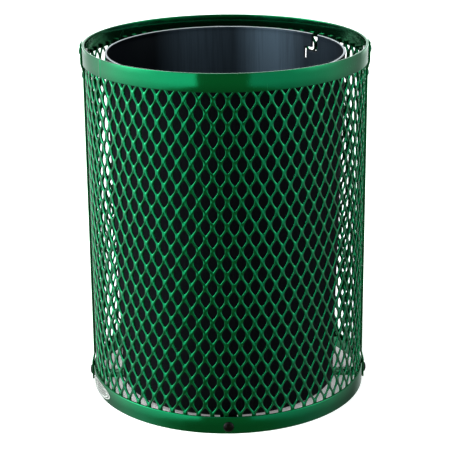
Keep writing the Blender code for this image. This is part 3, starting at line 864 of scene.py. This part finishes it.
def place_in(bm, placement):
    """Moves a skin to its placement, and gives it back."""
    bmesh.ops.transform(bm, matrix=placement, verts=bm.verts)
    return bm


class MESH_OT_fasteners(bpy.types.Operator):
    """Builds the dome bolts, nuts and washers where the frame holds them"""

    bl_idname = "litter_bin.fasteners"
    bl_label = "Fasteners"

    def execute(self, context):
        colours = context.scene.bin_colours
        oxide = finish(black_oxide_steel, colours)
        zinc = finish(zinc_plated_steel, colours)
        sides = {"front": 0.0, "back": 180.0, "left": -90.0, "right": 90.0}
        for node in sorted(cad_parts):
            family, _, side = node.rpartition("_")
            if side not in sides or "upright" in family or "mesh" in family:
                continue
            low, high = (Vector(corner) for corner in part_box(node))
            span = high - low
            along = 1 if side in ("front", "back") else 0
            reach_out = max(abs(low[along]), abs(high[along]))
            reach_in = min(abs(low[along]), abs(high[along]))
            if family.endswith("bolt"):
                big = family == "base_bolt"
                head, dome = span[2] / 2, (5.5 if big else 3.5) * MM
                shank, pitch = (4 * MM, 1.25 * MM) if big else (3 * MM, 1.0 * MM)
                seat = reach_out - dome
                skin = turned(dome_bolt(head, dome, shank, seat - reach_in, pitch), 48)
                material, slot = oxide, "black_oxide_steel"
            elif family.endswith("washer"):
                seat, thick = reach_out, reach_out - reach_in
                rim, bore, ease = span[2] / 2, 3.4 * MM, 0.4 * MM
                skin = turned([(bore, 0.0), (rim - ease, 0.0), (rim, -ease), (rim, ease - thick),
                               (rim - ease, -thick), (bore, -thick)], 48)
                material, slot = zinc, "zinc_plated_steel"
            else:
                seat, thick = reach_out, reach_out - reach_in
                flats = min(span[2], span[1 - along])
                bore = (4.4 if family == "base_nut" else 3.4) * MM
                skin = hex_nut(flats, thick, bore)
                material, slot = zinc, "zinc_plated_steel"
            place_in(skin, facing_out(sides[side], seat, (low[2] + high[2]) / 2))
            make_piece(f"{family}_{side}_finished", skin, material, "basket", [node])
        return {"FINISHED"}


# ---- Liner --------------------------------------------------------------------------


LINER_WALL = 3.5 * MM
LINER_BASE_RADIUS, LINER_CORNER = 239 * MM, 8 * MM
# The base is pushed up inside a ring that the liner stands on.
LINER_FOOT_RADIUS, LINER_KICK = 170 * MM, 11 * MM
BEAD_WIDTH, BEAD_HEIGHT, BEAD_CORNER = 5 * MM, 6 * MM, 1.5 * MM


def kicked_base(foot, level):
    """The base from its foot ring in to the axis, raised inside the ring by the kick."""
    raised = level + LINER_KICK
    return [(foot + 2 * MM, level), (foot - 1 * MM, level + 0.8 * MM),
            (foot - LINER_KICK + 1 * MM, raised - 0.8 * MM),
            (foot - LINER_KICK - 2 * MM, raised), (80 * MM, raised), (0.0, raised)]


def liner_profile():
    """The tub's outline in (radius, height): outer wall down, base, inner wall up, bead."""
    wall, base, corner = LINER_WALL, LINER_BASE_RADIUS, LINER_CORNER
    rim = reach("liner")
    top, bottom = LINER_HIGH[2], LINER_LOW[2]
    wall_top, under = rim - (BEAD_WIDTH - wall) / 2, top - BEAD_HEIGHT
    # Rings 6 mm apart near the top, where the bag slot is cut.
    heights = [under - step * MM for step in range(6, 84, 6)]

    def wall_at(height, radius_low, radius_high):
        share = (height - bottom - corner) / (under - bottom - corner)
        return (radius_low + share * (radius_high - radius_low), height)

    def corner_points(radius):
        return [(base - corner + radius * math.cos(t), bottom + corner - radius * math.sin(t))
                for t in np.linspace(0, math.pi / 2, 9)]

    outer = [(wall_top + 0.2 * MM, under)]
    outer += [wall_at(height, base, wall_top) for height in heights]
    outer += corner_points(corner) + kicked_base(LINER_FOOT_RADIUS, bottom)
    mitre = wall * math.tan(math.pi / 8)
    inner = [wall_at(height, base - wall, wall_top - wall) for height in heights]
    inner += corner_points(corner - wall) + kicked_base(LINER_FOOT_RADIUS + mitre, bottom + wall)
    bead = [(rim - BEAD_WIDTH / 2 + x, top - BEAD_HEIGHT / 2 + y)
            for x, y in rounded_rectangle(BEAD_WIDTH, BEAD_HEIGHT, BEAD_CORNER, 5)]
    # The bead's flat underside is left open for the walls to join.
    lowest = [i for i, (x, y) in enumerate(bead) if y < under + 0.3 * MM]
    bead = bead[lowest[-1] + 1:] + bead[:lowest[0]]
    return outer, inner[::-1], bead[::-1]


def bag_slot(sizes):
    """The notch and hooked slot as a solid to cut away, its inside corners rounded."""
    # The notch is half a width either way of its azimuth. The slot leaves its foot sideways
    # and turns down into a leg.
    half, deep, leg_end, run = 9.2 * MM, 37 * MM, 58 * MM, 23 * MM
    far = half + run
    near = far - sizes.slot_width
    level = sizes.slot_width - deep
    corners = [(-half, 0.02), (-half, -deep), (near, -deep), (near, -leg_end),
               (far, -leg_end), (far, level), (half, level), (half, 0.02)]
    outline = [corners[0]]
    outline += [tuple(p) for p in filleted(corners, 2.4 * MM, 4)[1:-1]] + [corners[-1]]
    bm = bmesh.new()
    near_side = [Vector((x, y, -0.02)) for x, y in outline]
    far_side = [Vector((x, y, 0.02)) for x, y in outline]
    loft(bm, [near_side, far_side], closed=False, caps=True)
    azimuth = math.degrees(sizes.slot_azimuth)
    return place_in(bm, facing_out(azimuth, reach("liner"), LINER_HIGH[2]))


class MESH_OT_liner(bpy.types.Operator):
    """Builds the lift-out liner and cuts its bag slot"""

    bl_idname = "litter_bin.liner"
    bl_label = "Liner"

    def execute(self, context):
        sizes = context.scene.bin_sizes
        plastic = finish(moulded_polyethylene, context.scene.bin_colours)
        outer, inner, bead = liner_profile()
        bm = bmesh.new()
        profile = outer + inner + bead
        corners = [bm.verts.new((radius, 0.0, height)) for radius, height in profile]
        edges = [bm.edges.new((corners[i], corners[(i + 1) % len(corners)]))
                 for i in range(len(corners)) if i != len(outer) - 1]
        bmesh.ops.spin(bm, geom=corners + edges, cent=(0, 0, 0), axis=(0, 0, 1),
                       angle=math.tau, steps=256, use_merge=True)
        bmesh.ops.remove_doubles(bm, verts=bm.verts, dist=1e-6)
        bmesh.ops.recalc_face_normals(bm, faces=bm.faces)
        tub = make_piece("moulded_liner", bm, plastic, "liner", ["liner"],
                         sharp=50.0)
        cutter_mesh = bpy.data.meshes.new("bag_slot")
        cutter_bm = bag_slot(sizes)
        cutter_bm.to_mesh(cutter_mesh)
        cutter_bm.free()
        cutter = bpy.data.objects.new("bag_slot", cutter_mesh)
        context.scene.collection.objects.link(cutter)
        modifier = tub.modifiers.new("bag_slot", "BOOLEAN")
        modifier.operation, modifier.object = "DIFFERENCE", cutter
        context.view_layer.update()
        cut = bpy.data.meshes.new_from_object(
            tub.evaluated_get(context.evaluated_depsgraph_get()))
        tub.modifiers.clear()
        tub.data = cut
        bpy.data.objects.remove(cutter)
        return {"FINISHED"}


# ---- Label plate --------------------------------------------------------------------


class MESH_OT_label_plate(bpy.types.Operator):
    """Builds the oval plate on the bottom hoop, with a raised edge"""

    bl_idname = "litter_bin.label_plate"
    bl_label = "Label plate"

    def execute(self, context):
        enamel = finish(enamelled_plate, context.scene.bin_colours)
        middle, span = (LABEL_LOW + LABEL_HIGH) / 2, LABEL_HIGH - LABEL_LOW
        azimuth = math.degrees(math.atan2(middle.x, -middle.y))
        half_height, half_width = span.z / 2, math.hypot(span.x, span.y) / 2
        inner = HOOP_RADIUS + FIT_GAP
        # Shares of the oval, and the height of the plate's face there in millimetres.
        levels = ((1.0, 0.0), (1.0, 0.5), (0.99, 0.8), (0.965, 0.8), (0.94, 0.5), (0.5, 0.5),
                  (0.02, 0.5))
        bm = bmesh.new()
        rings = []
        for share, rise in levels:
            ring = []
            for i in range(72):
                turn = math.tau * i / 72
                along = math.degrees(share * half_width * math.cos(turn) / inner)
                height = middle.z + half_height * math.sin(turn) * share
                ring.append(around(azimuth + along, inner + rise * MM, height))
            rings.append(ring)
        loft(bm, rings, closed=False, caps=True)
        make_piece("oval_label_plate", bm, enamel, "basket", ["label_plate"])
        return {"FINISHED"}


# ---- Studio -------------------------------------------------------------------------


CAMERA_PLACE = (0.0, -3.2011, 1.4466)


def softbox(name, power, place):
    """A square area light, 0.8 m across, that faces the bin's mouth."""
    lamp = bpy.data.lights.new(name, "AREA")
    lamp.size, lamp.energy = 0.8, power
    obj = bpy.data.objects.new(name, lamp)
    obj.location = place
    aim = Vector((0.0, 0.0, BIN_HEIGHT)) - place
    obj.rotation_euler = aim.to_track_quat("-Z", "Y").to_euler()
    bpy.context.scene.collection.objects.link(obj)


def studio_world(studio):
    """White to look at; as light, tall panels all round but for a gap by the camera."""
    world = bpy.data.worlds.new("studio")
    bpy.context.scene.world = world
    world.use_nodes = True
    tree = world.node_tree
    tree.nodes.clear()
    way = tree.nodes.new("ShaderNodeTexCoord").outputs["Generated"]
    way = add_node(tree, "ShaderNodeVectorRotate", {
        "Vector": way, "Angle": math.radians(2.0)}, rotation_type="Z_AXIS")
    across, along, up = add_node(tree, "ShaderNodeSeparateXYZ", {"Vector": way}).node.outputs
    # How far a direction points to the front and to the right, its rise left out.
    level = add_node(tree, "ShaderNodeMath", {0: up, 1: up}, operation="MULTIPLY")
    level = add_node(tree, "ShaderNodeMath", {0: 1.0001, 1: level}, operation="SUBTRACT")
    level = add_node(tree, "ShaderNodeMath", {0: level}, operation="SQRT")
    front = add_node(tree, "ShaderNodeMath", {0: along, 1: -1.0}, operation="MULTIPLY")
    front = add_node(tree, "ShaderNodeMath", {0: front, 1: level}, operation="DIVIDE")
    right = add_node(tree, "ShaderNodeMath", {0: across, 1: level}, operation="DIVIDE")
    # The gap between the panels is 40 degrees wide at eye level and opens towards the floor.
    inner = add_node(tree, "ShaderNodeMapRange", {
        "Value": up, "From Min": -0.45, "From Max": -0.31, "To Min": 0.85, "To Max": 0.945})
    outer = add_node(tree, "ShaderNodeMapRange", {
        "Value": up, "From Min": -0.45, "From Max": -0.31, "To Min": 0.25, "To Max": 0.928})
    gap = add_node(tree, "ShaderNodeMapRange", {
        "Value": front, "From Min": outer, "From Max": inner})
    gap_top = add_node(tree, "ShaderNodeMapRange", {
        "Value": up, "From Min": 0.35, "From Max": 0.6, "To Min": 1.0, "To Max": 0.0})
    gap = add_node(tree, "ShaderNodeMath", {0: gap, 1: gap_top}, operation="MULTIPLY")
    # The panels are dimmer at the right, and dimmer towards the back.
    panels = add_node(tree, "ShaderNodeMapRange", {
        "Value": right, "From Min": -0.25, "From Max": 0.25,
        "To Min": studio.left_panel, "To Max": studio.right_panel})
    backwards = add_node(tree, "ShaderNodeMapRange", {
        "Value": front, "From Min": -0.7, "From Max": -0.1, "To Min": 0.45, "To Max": 1.0})
    panels = add_node(tree, "ShaderNodeMath", {0: panels, 1: backwards}, operation="MULTIPLY")
    # Behind the bin stands a bright backdrop, with duller floor below it and wall above.
    backdrop = add_node(tree, "ShaderNodeMapRange", {
        "Value": up, "From Min": -0.19, "From Max": -0.13,
        "To Min": studio.back_floor, "To Max": studio.backdrop})
    wall = add_node(tree, "ShaderNodeMapRange", {
        "Value": up, "From Min": 0.0, "From Max": 0.2, "To Min": 1.0, "To Max": 0.2})
    backdrop = add_node(tree, "ShaderNodeMath", {0: backdrop, 1: wall}, operation="MULTIPLY")
    behind = add_node(tree, "ShaderNodeMapRange", {
        "Value": front, "From Min": -0.96, "From Max": -0.75, "To Min": 1.0, "To Max": 0.0})
    panels = add_node(tree, "ShaderNodeMix", {"Factor": behind, "A": panels, "B": backdrop})
    foot = add_node(tree, "ShaderNodeMapRange", {
        "Value": up, "From Min": -0.45, "From Max": -0.25, "To Min": 0.36, "To Max": 1.0})
    # Beside and behind the bin they stop at eye level, so the strands' far sides stay dark.
    dim = add_node(tree, "ShaderNodeMapRange", {
        "Value": up, "From Min": -0.16, "From Max": -0.02, "To Max": 0.75})
    beside = add_node(tree, "ShaderNodeMapRange", {
        "Value": front, "From Min": -0.3, "From Max": 0.1, "To Min": 1.0, "To Max": 0.0})
    dim = add_node(tree, "ShaderNodeMath", {0: dim, 1: beside}, operation="MULTIPLY")
    lasting = add_node(tree, "ShaderNodeMath", {0: 1.0, 1: dim}, operation="SUBTRACT")
    # Above the horizon they are brighter, which is what the strands' round edges mirror.
    lift = add_node(tree, "ShaderNodeMapRange", {
        "Value": up, "From Min": -0.15, "From Max": 0.15, "To Max": studio.high_panels})
    sideways = add_node(tree, "ShaderNodeMapRange", {
        "Value": front, "From Min": 0.2, "From Max": 0.6, "To Min": 1.0, "To Max": 0.0})
    lift = add_node(tree, "ShaderNodeMath", {0: lift, 1: sideways, 2: 1.0},
                    operation="MULTIPLY_ADD")
    overhead = add_node(tree, "ShaderNodeMapRange", {
        "Value": up, "From Min": 0.45, "From Max": 0.8, "To Min": 1.0,
        "To Max": studio.overhead})
    for share in (foot, lasting, lift, overhead):
        panels = add_node(tree, "ShaderNodeMath", {0: panels, 1: share}, operation="MULTIPLY")
    # Before the bin is floor, and above it the dark side of the room.
    before = add_node(tree, "ShaderNodeMapRange", {
        "Value": up, "From Min": -0.45, "From Max": -0.22, "To Min": 0.25,
        "To Max": studio.foreground})
    room = add_node(tree, "ShaderNodeMapRange", {
        "Value": up, "From Min": -0.05, "From Max": 0.1, "To Min": 1.0, "To Max": 0.3})
    before = add_node(tree, "ShaderNodeMath", {0: before, 1: room}, operation="MULTIPLY")
    light = add_node(tree, "ShaderNodeMix", {"Factor": gap, "A": panels, "B": before})
    # The floor before the bin is a warmer white than the panels.
    colour = add_node(tree, "ShaderNodeMix", {
        "Factor": gap, COLOUR_A: (0.97, 0.99, 1.0, 1.0), COLOUR_B: (1.0, 0.98, 0.5, 1.0)},
        MIXED_COLOUR, data_type="RGBA")
    lit = add_node(tree, "ShaderNodeBackground", {"Color": colour, "Strength": light})
    seen = add_node(tree, "ShaderNodeBackground", {"Color": (1.0, 1.0, 1.0, 1.0)})
    is_seen = tree.nodes.new("ShaderNodeLightPath").outputs["Is Camera Ray"]
    both = add_node(tree, "ShaderNodeMixShader", {0: is_seen, 1: lit, 2: seen})
    tree.links.new(both, tree.nodes.new("ShaderNodeOutputWorld").inputs["Surface"])


class SCENE_OT_studio(bpy.types.Operator):
    """Sets out the floor, the softboxes, the white surround and the camera"""

    bl_idname = "litter_bin.studio"
    bl_label = "Studio"

    def execute(self, context):
        studio = context.scene.bin_studio
        bm = bmesh.new()
        bmesh.ops.create_grid(bm, x_segments=8, y_segments=8, size=6.0)
        mesh = bpy.data.meshes.new("studio_floor")
        bm.to_mesh(mesh)
        bm.free()
        mesh.materials.append(painted_floor())
        floor = bpy.data.objects.new("studio_floor", mesh)
        floor.visible_glossy = False
        floor.visible_diffuse = False
        context.scene.collection.objects.link(floor)
        studio_world(studio)
        softbox("softbox_left", studio.softbox_power, around(-62, 2.0, 2.5))
        softbox("softbox_right", studio.softbox_power / 4, around(55, 2.0, 2.3))
        context.scene.view_settings.view_transform = "Standard"
        camera = bpy.data.cameras.new("camera")
        camera.sensor_width, camera.lens = 36.0, studio.lens
        camera.clip_start = 0.05
        obj = bpy.data.objects.new("camera", camera)
        context.scene.collection.objects.link(obj)
        # The camera looks down at the bin, a touch to the left, and leans very slightly.
        pitch, yaw, roll = math.radians(18.73), math.radians(-0.07), math.radians(-0.56)
        ahead = Vector((math.sin(yaw) * math.cos(pitch), math.cos(yaw) * math.cos(pitch),
                        -math.sin(pitch)))
        right = Vector((math.cos(yaw), -math.sin(yaw), 0.0))
        up = right.cross(ahead)
        turned_right = right * math.cos(roll) + up * math.sin(roll)
        turned_up = up * math.cos(roll) - right * math.sin(roll)
        aim = Matrix((turned_right, turned_up, -ahead)).transposed().to_4x4()
        aim.translation = CAMERA_PLACE
        obj.matrix_world = aim
        context.scene.camera = obj
        return {"FINISHED"}


# ---- Panel and registration ---------------------------------------------------------

OPERATORS = (
    MESH_OT_hoops, MESH_OT_uprights, MESH_OT_base_bars, MESH_OT_expanded_basket,
    MESH_OT_fasteners, MESH_OT_liner, MESH_OT_label_plate, SCENE_OT_studio,
)
GROUPS = {
    "bin_sizes": LitterBinSizes, "bin_colours": LitterBinColours, "bin_studio": LitterBinStudio,
}


class VIEW3D_PT_litter_bin(bpy.types.Panel):
    """Lists the bin's sizes, colours and pieces"""

    bl_label = "Litter bin"
    bl_idname = "VIEW3D_PT_litter_bin"
    bl_space_type = "VIEW_3D"
    bl_region_type = "UI"
    bl_category = "Litter bin"

    def draw(self, context):
        for operator in OPERATORS:
            self.layout.operator(operator.bl_idname)
        for group in GROUPS:
            box = self.layout.box()
            settings = getattr(context.scene, group)
            for name in settings.__annotations__:
                box.prop(settings, name)


CLASSES = (*GROUPS.values(), *OPERATORS, VIEW3D_PT_litter_bin)


def register():
    for cls in CLASSES:
        bpy.utils.register_class(cls)
    for name, group in GROUPS.items():
        setattr(bpy.types.Scene, name, PointerProperty(type=group))


def unregister():
    for name in GROUPS:
        delattr(bpy.types.Scene, name)
    for cls in reversed(CLASSES):
        bpy.utils.unregister_class(cls)


def main():
    register()
    for operator in OPERATORS:
        module, name = operator.bl_idname.split(".")
        getattr(getattr(bpy.ops, module), name)()


if __name__ == "__main__":
    main()
